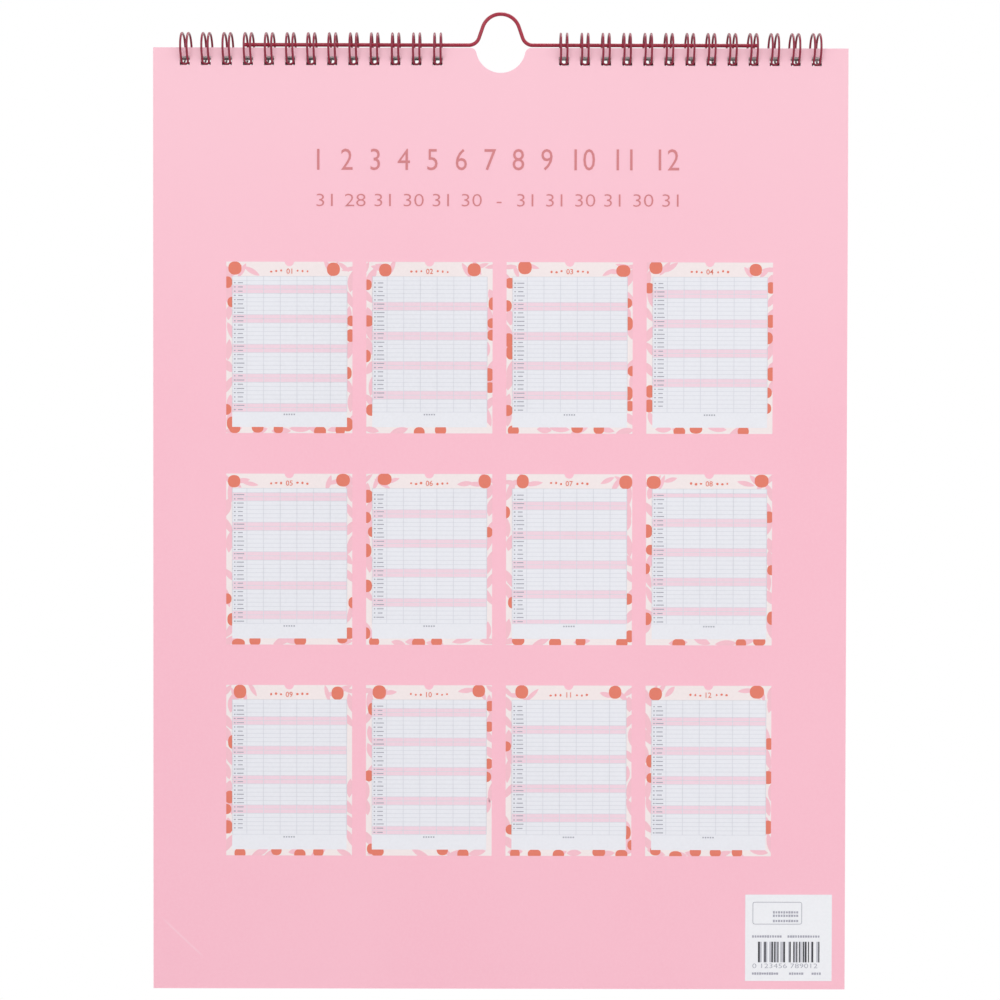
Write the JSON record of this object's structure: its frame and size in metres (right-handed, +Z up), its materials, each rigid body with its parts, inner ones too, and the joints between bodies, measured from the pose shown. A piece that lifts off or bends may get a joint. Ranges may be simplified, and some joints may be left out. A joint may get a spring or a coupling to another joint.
{
  "type": "wall family planner",
  "caption": "Upright wall planner: month pages between two card covers on twin-loop wire, with a thumb notch at the top and a wire hanger whose hump drops over a wall hook.",
  "frame": {"origin": "the hook point: under the top of the hanger's hump, in the hanger's plane", "axes": "+Z up along the sheets, +Y out of the front cover, -Y out of the printed back cover, +X to the right seen from the printed back"},
  "size_m": [0.2794, 0.013, 0.3942],
  "materials": {
    "cover_card": "silk-coated pink card",
    "page_paper": "matt uncoated paper",
    "coated_wire": "glossy crimson coated steel wire",
    "month_print": "printed field, coral on cream",
    "grid_print": "printed field, ruled pale grey",
    "label_print": "printed field, near white"
  },
  "bodies": {
    "hanger": {"hanger": "coated_wire"},
    "pages": {"page_block": "page_paper", "wire_binding_left": "coated_wire", "wire_binding_right": "coated_wire"},
    "front_cover": {"front_cover": "cover_card"},
    "back_cover": {"back_cover": "cover_card", "month_field_01": "month_print", "month_field_02": "month_print", "month_field_03": "month_print", "month_field_04": "month_print", "month_field_05": "month_print", "month_field_06": "month_print", "month_field_07": "month_print", "month_field_08": "month_print", "month_field_09": "month_print", "month_field_10": "month_print", "month_field_11": "month_print", "month_field_12": "month_print", "grid_field_01": "grid_print", "grid_field_02": "grid_print", "grid_field_03": "grid_print", "grid_field_04": "grid_print", "grid_field_05": "grid_print", "grid_field_06": "grid_print", "grid_field_07": "grid_print", "grid_field_08": "grid_print", "grid_field_09": "grid_print", "grid_field_10": "grid_print", "grid_field_11": "grid_print", "grid_field_12": "grid_print", "label_field": "label_print"}
  },
  "joints": [
    {"name": "planner_swing", "type": "hinge", "parent": "hanger", "child": "pages", "pos_m": [0, 0, -0.01175], "axis": [1, 0, 0], "range_deg": [-30, 90]},
    {"name": "front_cover_turn", "type": "hinge", "parent": "pages", "child": "front_cover", "pos_m": [0, 0.0005, -0.01323], "axis": [1, 0, 0], "range_deg": [0, 120]},
    {"name": "back_cover_turn", "type": "hinge", "parent": "pages", "child": "back_cover", "pos_m": [0, 0.0005, -0.01323], "axis": [1, 0, 0], "range_deg": [-60, 0]}
  ]
}
